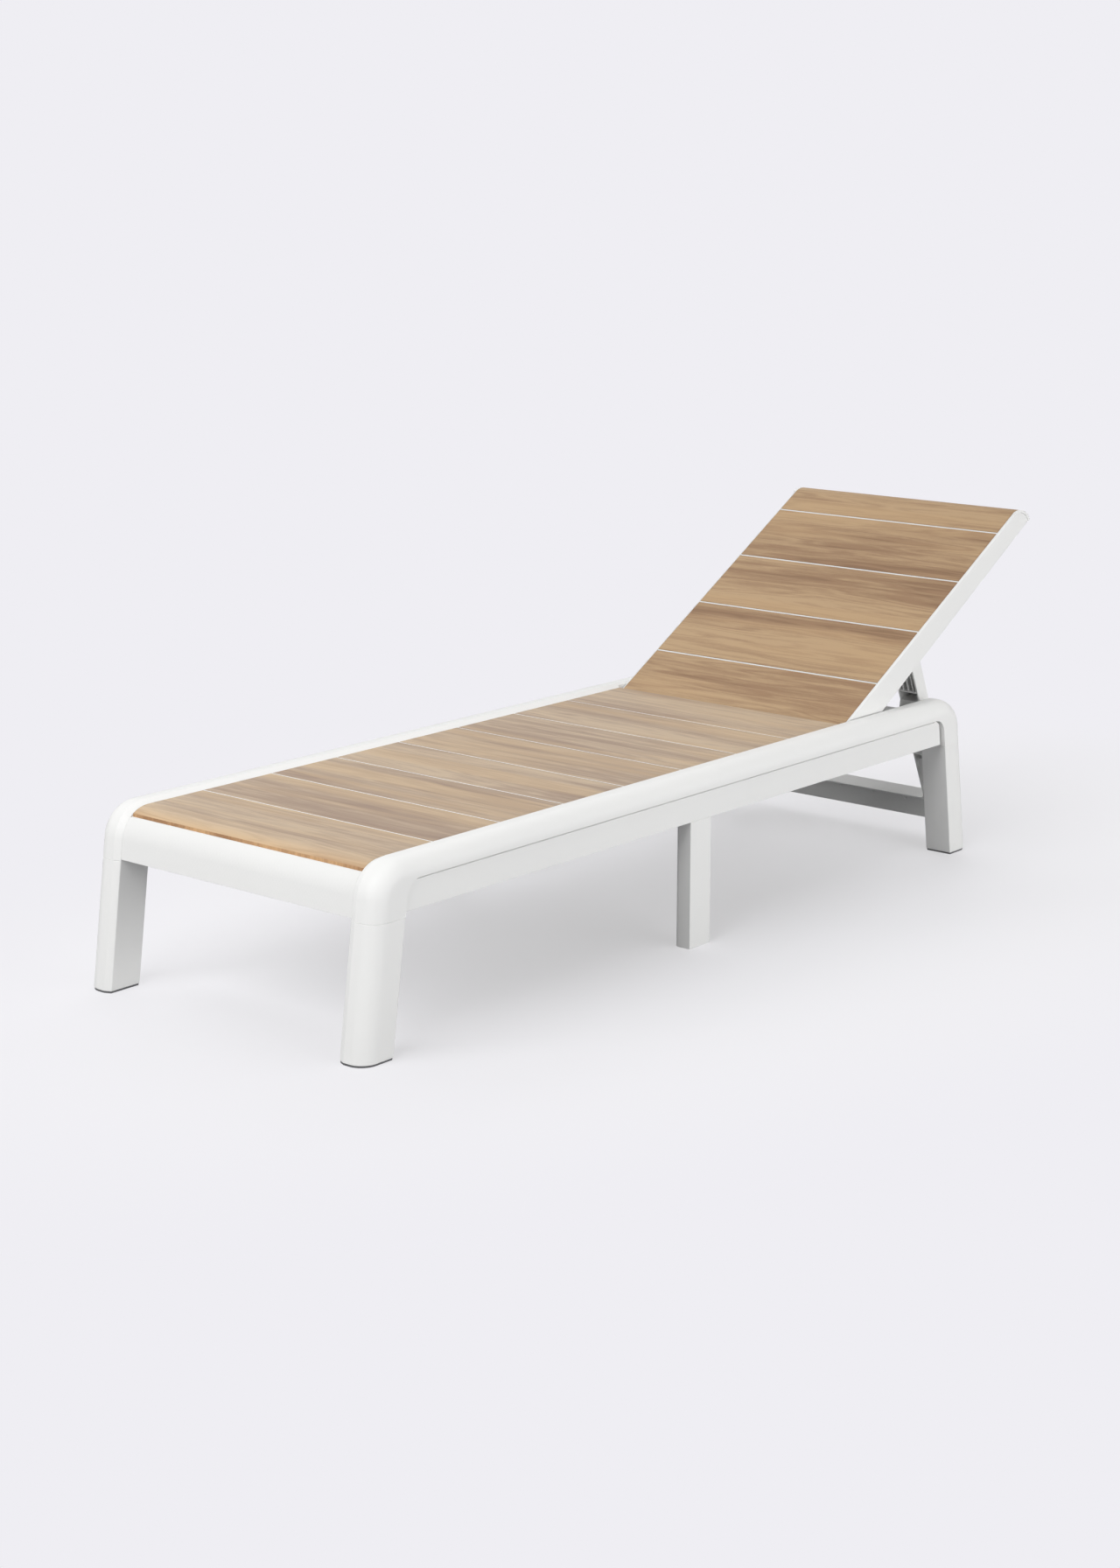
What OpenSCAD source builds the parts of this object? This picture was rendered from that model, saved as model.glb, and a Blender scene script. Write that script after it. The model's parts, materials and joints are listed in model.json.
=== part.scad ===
// Reclining sun lounger: moulded side frames with splayed legs, plank-look deck, hinged backrest and step prop.
// Millimetres. +X is across the lounger, +Y towards the head end, +Z up. Origin on the floor under the middle
// of the whole object as it stands in the reclined rest position.

/* [Frame] */
// Overall width across the two side frames
frame_w = 642; // [622:2:662]
// Width of each side rail and of each corner leg
rail_w = 56; // [52:1:60]
// Height of the plank surface above the floor
deck_h = 307.5; // [300:0.5:315]
// How far the rail crest stands above the planks
crest_h = 6; // [4:0.5:7]
// Height of a side rail from its crest to its lower edge
rail_d = 33.8; // [31:0.1:36]
// Distance from the hinge to the outer face of the head-end legs at the floor
tail_len = 346; // [342:1:360]
// Lean of the corner legs, outward to the floor
leg_lean = 8.08; // [6:0.02:9]
// Depth of a corner leg, measured square to it
leg_d = 67.8; // [64:0.1:70]
// Radius of the big rounded corner between rail and leg
corner_r = 65; // [62:1:68]
// Straight stretch of the corner piece above its joint with the leg
seam_drop = 26.5; // [20:0.5:34]
// Depth of the side aprons below the rail
apron_d = 50.7; // [48:0.1:56]

/* [Planks] */
// Distance from one plank gap to the next
plank_pitch = 160; // [159:0.5:161]
// Width of the gap between two planks
plank_gap = 2.7; // [2:0.1:4]
// Thickness of the planks
plank_t = 8; // [7:0.5:8]
// Angle that the foot plank follows over the nose
nose_deg = 38; // [30:1:45]
// First plank gap behind the outer face of the foot-end legs at the floor
first_gap = 220; // [216:1:224]

/* [Backrest] */
// Angle of the backrest above flat in the rest position
recline = 30; // [28:0.5:32]
// Depth of the backrest side at the hinge end
stile_d = 57.5; // [56:0.5:60]
// Radius of the rolled head end
head_r = 43.5; // [42:0.5:45]
// Radius of the hinge axle
axle_r = 8; // [6:0.5:9]

/* [Prop] */
// Turn of the prop from folded in the backrest to standing on its step
prop_fold = 96; // [94:0.5:97]
// Clearance between the prop arms and the backrest sides
prop_clear = 6; // [4:0.5:16]
// Width of one prop arm
arm_w = 46; // [42:1:50]
// Length of the prop from its pivot to its lower edge
prop_len = 407; // [400:1:412]
// Distance from one step of the prop to the next
step_pitch = 45; // [43:0.5:46]
// Distance from the hinge to the prop axle, along the backrest
prop_reach = 276; // [270:1:280]
// Radius of the prop axle
pin_r = 6; // [5:0.5:6.5]

/* [Hidden] */
$fn = 64;
eps = 0.2;               // run-through for cuts
run = 0.05;              // radial clearance of a turning fit
ease = 0.3;              // easy clearance between neighbouring mouldings
seam_step = 0.05;        // the leg stands this much inside the turned corner, all round
far = 600;               // reach of cuts that run past everything
// places are kept to a hundredth of a millimetre
function tidy(v) = round(v * 100) / 100;

// planks and hinge, counted from the outer face of the foot-end legs at the floor
deck_gaps = 7;
back_gaps = 4;
hinge_back = 30;         // hinge axis behind the last deck gap
hinge_drop = 42.5;       // hinge axis below the plank surface
last_gap_y = first_gap + deck_gaps * plank_pitch;
deck_end = last_gap_y - plank_gap / 2;
back_y0 = last_gap_y + plank_gap / 2;
hinge_y = last_gap_y + hinge_back;
hinge_z = deck_h - hinge_drop;
foot_len = hinge_y + tail_len;

// frame
out_x = frame_w / 2;
in_x = out_x - rail_w;
plank_x = in_x - 0.4;    // half width of the planks
facet_w = 13;            // sloping band along the inner edge of the rail
round_r = 30;            // big rounding along the outer edge
open_r = 30;             // inner corner under the rail
glide_h = 3;             // dark glides under the corner legs
glide_in = 1.5;          // glides stand this much inside the legs
lean_t = tan(leg_lean);
crest_z = deck_h + crest_h;
rail_z = crest_z - rail_d;
cor_z = crest_z - corner_r;
apron_h = rail_z - apron_d;
seam_h = cor_z - seam_drop;
cor_y = tidy(lean_t * cor_z + (corner_r - crest_h) / cos(leg_lean));
sweep = 90 - leg_lean;
leg_len = tidy(cor_z / cos(leg_lean)) + 50;           // prism length before it is trimmed at the floor
rear_cor_y = foot_len - cor_y;
leg_back = tidy((leg_d - crest_h) / cos(leg_lean));   // where the back of the foot leg meets the floor
open_z = rail_z - open_r;
open_y = tidy(leg_back + lean_t * open_z + open_r / cos(leg_lean));
tan_z = tidy(open_z + open_r * sin(leg_lean));
spigot_in = 20;          // how far the spigot reaches up into the corner piece
spigot_end = seam_drop / cos(leg_lean) + spigot_in;
// y of the back face of a foot leg at height z
function leg_line(z) = leg_back + lean_t * z;

apron_x = out_x - 4;     // outer face of apron and middle leg
apron_t = 14;
apron_gap = 6;           // dark gap ahead of the head-end legs
ledge_x = in_x - 15;
ledge_z = rail_z - 11.7;
panel_t = 14;
gap_low = 0.4;           // white ribs in the plank gaps lie this much below the planks
panel_top = deck_h - plank_t;
panel_z = panel_top - panel_t;
panel_skin = 5;
pocket_w = (ledge_x - 10) / 2;

mid_off = 12;            // middle legs ahead of the middle of the frame
mid_y = foot_len / 2 - mid_off;
mid_d = 58;
mid_t = 33;
mid_beam_w = 44;
hinge_beam_w = 48;
hinge_beam_gap = 62;     // from the hinge axis to the back face of its beam
beam_skin = 5;           // upright walls of the hollow crossbeams
bolt_r = 3;
bolt_edge = 30;          // bolts from the outer face of the apron
screw_r = 2;
screw_bite = 5;          // how far a screw reaches into the piece it holds

// front crossbeam under the nose
beam_low = apron_h - 5;
lip_deg = 2.2;
groove_deg = 1.4;
beam_wall = 9;

// backrest, described lying flat and then raised about the hinge
back_x = in_x + 4.5;     // outer face of the backrest sides
back_in = back_x - 13.5; // inner face of the backrest sides
head_flat = 62.5;        // flat part of the last plank ahead of its roll
roll_y = back_y0 + back_gaps * plank_pitch + head_flat;
roll_z = deck_h - head_r;
head_y = roll_y + head_r;
back_panel_t = 6;
back_rib_pitch = 100;
swing_r = norm([hinge_y - back_y0, deck_h - hinge_z]) + 1.2;
rim_t = 5.5;             // thickness of the rim round the head end
disc_r = head_r - rim_t - 0.2;
rim_x = back_x + 1.5;
cap_low_r = head_r - rim_t - plank_t + 1;   // inside of the cap under the rolled plank
stile_low = deck_h - stile_d;
stile_low_head = deck_h - head_r - 0.5;
relief_x = back_x + 1.2;
roll_deg = 52;           // how far the last plank follows the rolled head end

// prop, described with its pivot at the origin, folded flat along +Y, step side down
piv_y = hinge_y + prop_reach;
pin_drop = 30;           // prop axle below the plank surface
pin_room = 2;            // between the prop axle and the ribs of the backrest
piv_z = deck_h - pin_drop;
arm_t = 30;              // depth of the prop arms
arm_x = back_in - prop_clear;
arm_in = arm_x - arm_w;
boss_r = 12;
cross_a = prop_len - 49; // upper face of the lower crossbar
wall = 3.5;
plate_a = 99.5;          // lower face of the first step plate
nose_a = 45.5;           // first step plate to the tip of the next step
nose_b = 17.4;           // how far a step stands out of the arm
steps = 3;
web_a = plate_a + 164.5; // start of the smooth lower web
gusset_a = 27;           // how far the gussets of the crossbar reach down its web
gusset_pitch = 80;
gusset_off = 14;

// where a point of the prop stands when it is folded out and the backrest is raised
stand_deg = recline - prop_fold;
function stood_y(a, b) = hinge_y + prop_reach * cos(recline) - (piv_z - hinge_z) * sin(recline)
    + a * cos(stand_deg) + b * sin(stand_deg);
function stood_z(a, b) = hinge_z + prop_reach * sin(recline) + (piv_z - hinge_z) * cos(recline)
    + a * sin(stand_deg) - b * cos(stand_deg);

// rear crossbeam that carries the step
step_clear = 3.2;        // the step stands this much above its seat
seat_hold = 6;           // how far the seat reaches under the step
seat_w = 26;             // depth of the seat behind the beam
seat_drop = 23;          // seat below the top of the beam
seat_t = 12;
seat_rib_pitch = 95;
prop_beam_w = 52;
seat_y = tidy(stood_y(plate_a + nose_a, arm_t / 2 + nose_b) + seat_hold);
seat_z = tidy(stood_z(plate_a + nose_a, arm_t / 2 + nose_b) - step_clear);
beam_y = seat_y - seat_w;
beam_top = seat_z + seat_drop;
lay_gap = 0.5;           // between the ribs of the backrest laid flat and the beam
pad_z = stile_low - 7;   // underside of the pads over the ends of the rear crossbeam
beam_in = back_in - 3;

shift_y = -tidy((glide_h * lean_t - crest_h / cos(leg_lean))
    + hinge_y + (head_y - hinge_y) * cos(recline) - (roll_z - hinge_z) * sin(recline)) / 2;

white = [0.93, 0.93, 0.92];
wood = [0.72, 0.57, 0.42];
dark = [0.16, 0.16, 0.17];
steel = [0.7, 0.71, 0.72];

// ---- placing helpers ----
module placed() translate([0, shift_y, 0]) children();
module left() mirror([1, 0, 0]) children();
module head_end() translate([0, foot_len, 0]) mirror([0, 1, 0]) children();
module along_x(x0, x1) translate([x0, 0, 0]) rotate([90, 0, 90]) linear_extrude(x1 - x0) children();
module along_y(y0, y1) translate([0, y1, 0]) rotate([90, 0, 0]) linear_extrude(y1 - y0) children();
module rod_x(r, x0, x1) translate([x0, 0, 0]) rotate([0, 90, 0]) cylinder(r = r, h = x1 - x0);
module block(x0, x1, y0, y1, z0, z1) translate([x0, y0, z0]) cube([x1 - x0, y1 - y0, z1 - z0]);
module raised() translate([0, hinge_y, hinge_z]) rotate([recline, 0, 0])
    translate([0, -hinge_y, -hinge_z]) children();
module folded_out() raised() translate([0, piv_y, piv_z]) rotate([-prop_fold, 0, 0]) children();

// ---- side frame and corner legs ----
// cross-section of rail and leg: x across, y measured down from the crest
module rim_section(depth, step = 0) difference() {
    translate([in_x + step, -depth]) square([rail_w - 2 * step, depth - step]);
    translate([0, -step]) polygon([[in_x - 1, 1], [in_x - 1, -crest_h - crest_h / facet_w],
        [in_x + facet_w, 0], [in_x + facet_w, 1]]);
    translate([out_x - round_r, -round_r]) difference() {
        square(round_r + 1);
        circle(r = round_r - step);
    }
}
module corner_turn() translate([0, cor_y, cor_z]) rotate([180, -90, 0]) rotate_extrude(angle = sweep)
    rotate([0, 0, 90]) mirror([0, 1, 0]) translate([0, corner_r]) rim_section(corner_r - 0.5);
// children in the leg's own frame: -Y down the leg, z from its back face to its crest, x across
module in_leg() translate([0, cor_y, cor_z]) rotate([sweep, 0, 0])
    translate([0, 0, corner_r - leg_d]) children();
module leg_prism(depth = leg_d, step = seam_step) in_leg() translate([0, 1, leg_d]) rotate([90, 0, 0])
    linear_extrude(leg_len) rim_section(depth, step);
module fillet_web() along_x(in_x, out_x) difference() {
    polygon([[cor_y - 4, rail_z + 4], [open_y, rail_z + 4], [open_y, tan_z], [leg_line(tan_z), tan_z],
        [leg_line(cor_z - 8), cor_z - 8], [cor_y - 4, cor_z - 8]]);
    translate([open_y, open_z]) circle(r = open_r);
}
module spigot(grow) in_leg() translate([in_x + 14 - grow, -spigot_end, 14 - grow])
    cube([rail_w - 28 + 2 * grow, spigot_end - 6 + grow, leg_d - 28 + 2 * grow]);
module leg_bolt_hole() in_leg() translate([0, -16, leg_d / 2]) rod_x(3 + run, in_x - 1, in_x + 26 + eps);
module leg_bolt() in_leg() translate([0, -16, leg_d / 2]) {
    rod_x(3, in_x, in_x + 26);
    rod_x(6, in_x - 3, in_x);
}
module corner_piece() {
    corner_turn();
    difference() {
        leg_prism();
        leg_zone(-far, seam_h);
    }
    fillet_web();
}
module side_frame() difference() {
    union() {
        along_y(cor_y, rear_cor_y) translate([0, crest_z]) rim_section(rail_d);
        corner_piece();
        head_end() corner_piece();
    }
    spigot(ease);
    head_end() spigot(ease);
    leg_bolt_hole();
    head_end() leg_bolt_hole();
    // room for the backrest side to swing
    block(in_x - 1, relief_x, hinge_y, foot_len + 60, stile_low - 6, crest_z + 1);
    translate([0, hinge_y, hinge_z]) rod_x(swing_r + ease, in_x - 1, relief_x);
    bracket_bolt_holes();
}
// everything at the foot end between two heights
module leg_zone(z0, z1) block(in_x - 1, out_x + 1, -far, far, z0, z1);
module corner_leg() difference() {
    union() {
        intersection() {
            leg_prism();
            leg_zone(glide_h, seam_h);
        }
        intersection() {
            spigot(0);
            leg_zone(seam_h - 5, far);
        }
    }
    leg_bolt_hole();
    // hollow leg, closed by the glide
    intersection() {
        in_leg() translate([in_x + 7, -leg_len, 7]) cube([rail_w - 22, leg_len, leg_d - 22]);
        leg_zone(glide_h - 1, seam_h - 40);
    }
}
module glide() intersection() {
    leg_prism(leg_d - glide_in, glide_in);
    leg_zone(0, glide_h);
}

// ---- aprons and middle legs ----
module apron_outline() intersection() {
    union() {
        polygon([[leg_line(apron_h), apron_h], [leg_line(tan_z), tan_z], [open_y, rail_z],
            [foot_len - open_y - apron_gap, rail_z], [foot_len - leg_line(tan_z) - apron_gap, tan_z],
            [foot_len - leg_line(apron_h) - apron_gap, apron_h]]);
        translate([open_y, open_z]) circle(r = open_r);
        translate([foot_len - open_y - apron_gap, open_z]) circle(r = open_r);
    }
    translate([0, apron_h]) square([foot_len, 100]);
}
module apron() difference() {
    union() {
        along_x(apron_x - apron_t, apron_x) apron_outline();
        // ledge that carries the deck panel and the ends of the crossbeams
        along_y(open_y, hinge_y - 54) polygon([[apron_x - apron_t + 1, rail_z],
            [apron_x - apron_t + 1, ledge_z], [ledge_x, ledge_z], [ledge_x, panel_z],
            [in_x - ease, panel_z], [in_x - ease, rail_z]]);
        block(relief_x + 1, apron_x - apron_t + 1, beam_y - prop_beam_w, beam_y, pad_z, pad_z + 25);
    }
    // pockets on the hidden side
    for (i = [0:deck_gaps - 1]) block(ledge_x, apron_x - 5, first_gap + 4 + i * plank_pitch,
        first_gap - 4 + (i + 1) * plank_pitch, apron_h + 5, ledge_z - 5);
    // soft upright edge at the head end
    rotate([leg_lean, 0, 0])
        translate([apron_x - 8, (foot_len - leg_back - apron_gap) * cos(leg_lean) - 8, -far])
        linear_extrude(2 * far) difference() {
            square([9, 9]);
            circle(r = 8);
        }
    beam_bolts() cylinder(r = bolt_r + run, h = $seat + 30);
}
module leg_mid() {
    difference() {
        union() {
            linear_extrude(apron_h) union() {
                translate([apron_x - mid_t, mid_y - mid_d / 2 + 8]) square([mid_t, mid_d - 8]);
                translate([apron_x - mid_t + 8, mid_y - mid_d / 2]) square([mid_t - 8, mid_d]);
                translate([apron_x - mid_t + 8, mid_y - mid_d / 2 + 8]) circle(r = 8);
            }
            block(apron_x - mid_t, apron_x - apron_t - ease, mid_y - mid_d / 2 + 4, mid_y + mid_d / 2 - 4,
                apron_h - 1, ledge_z);
            // brace under the middle beam
            translate([0, mid_y + 3, 0]) rotate([90, 0, 0]) linear_extrude(6)
                polygon([[apron_x - mid_t + 1, apron_h - 27], [apron_x - mid_t - 8, apron_h],
                    [apron_x - mid_t + 1, apron_h]]);
        }
        block(apron_x - mid_t + 5, apron_x - 5, mid_y - mid_d / 2 + 6, mid_y + mid_d / 2 - 5, -1, apron_h - 50);
    }
}

// ---- crossbeams ----
// side outline of the frame, drawn in by h from the crest line
module outline(h) union() {
    translate([cor_y, cor_z]) circle(r = corner_r - h);
    translate([cor_y, cor_z]) square([120, corner_r - h]);
    translate([cor_y, cor_z]) rotate(sweep) translate([-leg_len, 0]) square([leg_len, corner_r - h]);
    polygon([[cor_y, cor_z], [cor_y + 120, cor_z], [cor_y + 120, seam_h - 120], [cor_y - 12, seam_h - 120]]);
}
module arc_wedge(a0, a1, r) translate([cor_y, cor_z])
    polygon([[0, 0], [-r * sin(a0), r * cos(a0)], [-r * sin((a0 + a1) / 2) * 1.3, r * cos((a0 + a1) / 2) * 1.3],
        [-r * sin(a1), r * cos(a1)]]);
module foot_beam_2d() {
    // convex face below the lip
    difference() {
        outline(crest_h);
        outline(crest_h + beam_wall);
        translate([cor_y, cor_z]) square([far, far]);
        arc_wedge(-1, nose_deg + lip_deg + groove_deg, 90);
        translate([-far, beam_low - far]) square([2 * far, far]);
    }
    // floor of the groove
    intersection() {
        shell_2d(crest_h + 1.2, crest_h + beam_wall);
        arc_wedge(nose_deg + 0.5, nose_deg + lip_deg + groove_deg + 3, 90);
    }
    // lip against the end of the nose plank
    intersection() {
        shell_2d(crest_h - 0.4, crest_h + beam_wall);
        arc_wedge(nose_deg + 0.3, nose_deg + lip_deg, 90);
    }
    // bed of the nose plank
    intersection() {
        shell_2d(crest_h + plank_t + 0.1, crest_h + plank_t + beam_wall);
        translate([0, cor_z + 10]) square([cor_y + 22, 100]);
    }
    intersection() {
        shell_2d(crest_h + 1.2, crest_h + plank_t + beam_wall);
        arc_wedge(nose_deg + 0.5, nose_deg + 14, 90);
    }
}
module shell_2d(h0, h1) difference() {
    outline(h0);
    outline(h1);
}
// hollow beam, open below, with ribs across it
module beam_hollow(x1, y0, y1, top) for (i = [-1.5:1.5])
    block(i * x1 / 2 - x1 / 4 + 2, i * x1 / 2 + x1 / 4 - 2, y0 + beam_skin, y1 - beam_skin, apron_h - 1,
        top - 6);
module crossbeam(y0, y1, end_x) difference() {
    union() {
        block(-end_x, end_x, y0, y1, apron_h, ledge_z);
        block(-ledge_x + ease, ledge_x - ease, y0, y1, ledge_z - 1, panel_z);
    }
    beam_hollow(ledge_x - 15, y0, y1, panel_z);
    beam_bolts() bolt_hole();
}
// places of the vertical bolts that hold the crossbeams up against the aprons
module beam_bolts() for (s = [-1, 1], p = [[ledge_x + 16, mid_y, ledge_z],
    [ledge_x + 16, hinge_y - hinge_beam_gap - hinge_beam_w / 2, ledge_z],
    [apron_x - bolt_edge, beam_y - prop_beam_w / 2, pad_z]])
    translate([s * p[0], p[1], apron_h]) let ($seat = p[2] - apron_h) children();
module bolt_hole() {
    cylinder(r = bolt_r + run, h = $seat + 20);
    translate([0, 0, -1]) cylinder(r = 2 * bolt_r + 0.5, h = 5);
}
module bolt() {
    cylinder(r = bolt_r, h = $seat + 9);
    cylinder(r = 2 * bolt_r, h = 4);
}
module prop_beam_shape() difference() {
    union() {
        block(-(apron_x - apron_t - ease), apron_x - apron_t - ease, beam_y - prop_beam_w, beam_y,
            apron_h, pad_z);
        block(-beam_in, beam_in, beam_y - prop_beam_w, beam_y, apron_h, beam_top);
    }
    beam_hollow(beam_in - 12, beam_y - prop_beam_w, beam_y, beam_top);
    beam_bolts() bolt_hole();
    seat_screw_places() cylinder(r = screw_r + run, h = beam_skin + eps);
}
// the ledge under the step, screwed to the back of the beam
module step_seat_shape() difference() {
    union() {
        block(-beam_in, beam_in, beam_y, seat_y, seat_z - seat_t, seat_z);
        for (i = [-2:2]) along_x(i * seat_rib_pitch - 2, i * seat_rib_pitch + 2)
            polygon([[beam_y, apron_h + 4], [seat_y - 3, seat_z - seat_t + 1], [beam_y, seat_z - seat_t + 1]]);
    }
    seat_screw_places() cylinder(r = screw_r, h = beam_skin + screw_bite);
}
module seat_screw_places() for (i = [-1.5:1.5])
    translate([i * (beam_in - 12) / 2, beam_y - beam_skin, seat_z - seat_t / 2]) rotate([-90, 0, 0]) children();

// ---- planks and deck panel ----
module plank(y0, y1) block(-plank_x, plank_x, y0, y1, panel_top, deck_h);
module deck_plank(i) difference() {
    plank(first_gap + (i - 2) * plank_pitch + plank_gap / 2, first_gap + (i - 1) * plank_pitch - plank_gap / 2);
    deck_screw_places(panel_top - 1) cylinder(r = screw_r, h = 1 + screw_bite);
}
module nose_plank() difference() {
    union() {
        along_x(-plank_x, plank_x) intersection() {
            shell_2d(crest_h, crest_h + plank_t);
            union() {
                arc_wedge(0, nose_deg, 90);
                translate([cor_y - 0.01, cor_z]) square([20, 100]);
            }
        }
        plank(cor_y + 10, first_gap - plank_gap / 2);
    }
    deck_screw_places(panel_top - 1) cylinder(r = screw_r, h = 1 + screw_bite);
}
module last_plank() difference() {
    deck_plank(8);
    translate([0, hinge_y, hinge_z]) rod_x(swing_r, -in_x, in_x);
}
module deck_panel_shape() difference() {
    union() {
        block(-plank_x, plank_x, cor_y + 22.3, deck_end, panel_z, panel_top);
        for (i = [0:deck_gaps - 1]) translate([0, first_gap + i * plank_pitch, 0])
            block(-plank_x, plank_x, -plank_gap / 2, plank_gap / 2, panel_top - 1, deck_h - gap_low);
    }
    translate([0, hinge_y, hinge_z]) rod_x(swing_r + 0.5, -in_x - 1, in_x + 1);
    // ribbed underside
    for (i = [0:deck_gaps - 1], j = [-1.5:1.5])
        block(j * pocket_w - pocket_w / 2 + 4, j * pocket_w + pocket_w / 2 - 4,
            first_gap - 56 + i * plank_pitch, first_gap + 92 + i * plank_pitch,
            panel_z - 1, panel_top - panel_skin);
    deck_screw_places(panel_top - panel_skin) cylinder(r = screw_r + run, h = 12);
}
// screws from below, through the skin of the panel and into each plank
module deck_screw_places(z) for (i = [0:deck_gaps], s = [-1, 1])
    translate([s * pocket_w * 1.5, first_gap + (i - 0.5) * plank_pitch + (i == deck_gaps ? -20 : 45), z])
    children();
module back_screw_places(z) for (i = [1:back_gaps + 1], s = [-1, 1])
    translate([s * 100, back_y0 + (i - 0.5) * plank_pitch - (i > back_gaps ? 30 : 0), z]) children();
module screw(skin) translate([0, 0, -2]) {
    cylinder(r = screw_r, h = 2 + skin + screw_bite);
    cylinder(r = 4.5, h = 2);
}

// ---- hinge ----
module bracket() difference() {
    block(relief_x + 0.6, apron_x - apron_t - eps / 2, hinge_y - 22, hinge_y + 22, hinge_z - 22, rail_z);
    translate([0, hinge_y, hinge_z]) rod_x(axle_r + run, relief_x, apron_x);
    bracket_bolt_holes();
}
module bracket_bolt_places() for (y = [-15, 15])
    translate([apron_x - apron_t - 9, hinge_y + y, hinge_z - 22]) children();
module bracket_bolt_holes() bracket_bolt_places() translate([0, 0, -1]) cylinder(r = 2.5 + run, h = 54);
module bracket_bolts() bracket_bolt_places() {
    cylinder(r = 2.5, h = 50);
    translate([0, 0, -3]) cylinder(r = 5, h = 3);
}

// ---- backrest, lying flat ----
module stile_outline() difference() {
    polygon([[back_y0, deck_h], [roll_y, deck_h], [roll_y, roll_z + disc_r], [roll_y + disc_r, roll_z + disc_r],
        [roll_y + disc_r, stile_low_head], [hinge_y + 10, stile_low], [hinge_y, stile_low],
        [back_y0, stile_low + 22]]);
    difference() {
        translate([roll_y, roll_z]) square([disc_r + 1, disc_r + 1]);
        translate([roll_y, roll_z]) circle(r = disc_r);
    }
}
module stile_section() difference() {
    union() {
        translate([back_in, stile_low - 5]) square([back_x - back_in, deck_h - stile_low + 5 - 4.5]);
        translate([in_x, stile_low]) square([4.5 - 4, deck_h - stile_low]);
        intersection() {
            translate([back_x - 4, deck_h - 4.01]) circle(r = 4);
            translate([in_x, deck_h - 5]) square([10, 10]);
        }
        translate([in_x, deck_h - 6]) square([3, 4]);
    }
    translate([back_in - 1, panel_top - 0.01]) square([in_x - back_in + 1, plank_t + 1]);
}
module stile() difference() {
    intersection() {
        along_x(back_in, back_x) stile_outline();
        along_y(back_y0 - 1, head_y + 1) stile_section();
    }
    rim_band(in_x - 5, rim_x, 0.1);
    // room for the rolled plank and its cap
    cap_arc(back_in - 1, in_x + run, cap_low_r - 0.1, head_r + 1, -8, 94);
    translate([0, hinge_y, hinge_z]) rod_x(axle_r + run, back_in - 1, back_x + 1);
    translate([0, piv_y, piv_z]) rod_x(pin_r, back_in - 1, back_x - 5);
}
module rim_band(x0, x1, grow) translate([x0, roll_y, roll_z]) rotate([0, 90, 0]) rotate([0, 0, 90])
    rotate_extrude(angle = 90) translate([head_r - rim_t - grow, 0])
    square([rim_t + 2 * grow, x1 - x0]);
module cap_arc(x0, x1, r0, r1, a0, a1) translate([x0, roll_y, roll_z]) rotate([0, 90, 0])
    rotate([0, 0, 90 + a0]) rotate_extrude(angle = a1 - a0) translate([r0, 0]) square([r1 - r0, x1 - x0]);
module head_cap_shape() {
    for (s = [0, 1]) mirror([s, 0, 0]) cap_arc(plank_x + 0.3, rim_x, head_r - rim_t, head_r, 0, 90);
    cap_x = plank_x + 0.5;
    cap_deg = 90 - roll_deg;
    cap_arc(-cap_x, cap_x, cap_low_r, head_r - plank_t - 0.1, 0, cap_deg + 3);
    cap_arc(-cap_x, cap_x, head_r - rim_t, head_r, 0, cap_deg - 1);
    cap_arc(-cap_x, cap_x, cap_low_r, head_r - 0.5, cap_deg - 6, cap_deg - 1);
}
module back_plank(i) difference() {
    plank(back_y0 + (i - 1) * plank_pitch, back_y0 + i * plank_pitch - plank_gap);
    back_screw_places(panel_top - 1) cylinder(r = screw_r, h = 1 + screw_bite);
}
module head_plank_2d(y0) difference() {
    translate([y0, roll_z]) square([head_y - y0, head_r]);
    translate([y0 - 1, roll_z - 1]) square([roll_y - y0 + 1, head_r - plank_t + 1]);
    translate([roll_y, roll_z]) {
        circle(r = head_r - plank_t);
        rotate(90 - roll_deg) translate([0, -head_r - 2]) square(head_r + 2);
        difference() {
            square(head_r + 1);
            circle(r = head_r);
        }
    }
}
module head_plank() difference() {
    along_x(-plank_x, plank_x) head_plank_2d(back_y0 + back_gaps * plank_pitch);
    back_screw_places(panel_top - 1) cylinder(r = screw_r, h = 1 + screw_bite);
}
module back_panel_shape() difference() {
    union() {
        block(-back_in, back_in, back_y0 + 3, roll_y, panel_top - back_panel_t, panel_top);
        for (i = [1:back_gaps]) translate([0, back_y0 + i * plank_pitch - plank_gap, 0]) {
            block(-back_in, back_in, 0, plank_gap, panel_top - 1, deck_h - gap_low);
            block(-plank_x, plank_x, 0, plank_gap, panel_top, deck_h - gap_low);
        }
        // ribs that come to rest on the rear crossbeam when the backrest lies flat
        for (i = [-1.5:1.5]) translate([i * back_rib_pitch, 0, 0])
            block(-2, 2, hinge_y + 27, piv_y + cross_a - 10, beam_top + lay_gap, panel_top - back_panel_t);
    }
    back_screw_places(panel_top - back_panel_t - 1) cylinder(r = screw_r + run, h = 12);
    // room for the prop axle
    translate([0, piv_y, piv_z]) rod_x(pin_r + pin_room, -back_in - 1, back_in + 1);
}
module lower_rail_shape() difference() {
    along_x(-back_in, back_in) polygon([[back_y0 + 3, panel_top - back_panel_t], [back_y0 + 3, hinge_z - 4],
        [hinge_y - 14, hinge_z - 12.5], [hinge_y + 14, hinge_z - 12.5], [hinge_y + 26, hinge_z - 2],
        [hinge_y + 26, panel_top - back_panel_t]]);
    translate([0, hinge_y, hinge_z]) rod_x(axle_r + run, -back_in - 1, back_in + 1);
}

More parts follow.
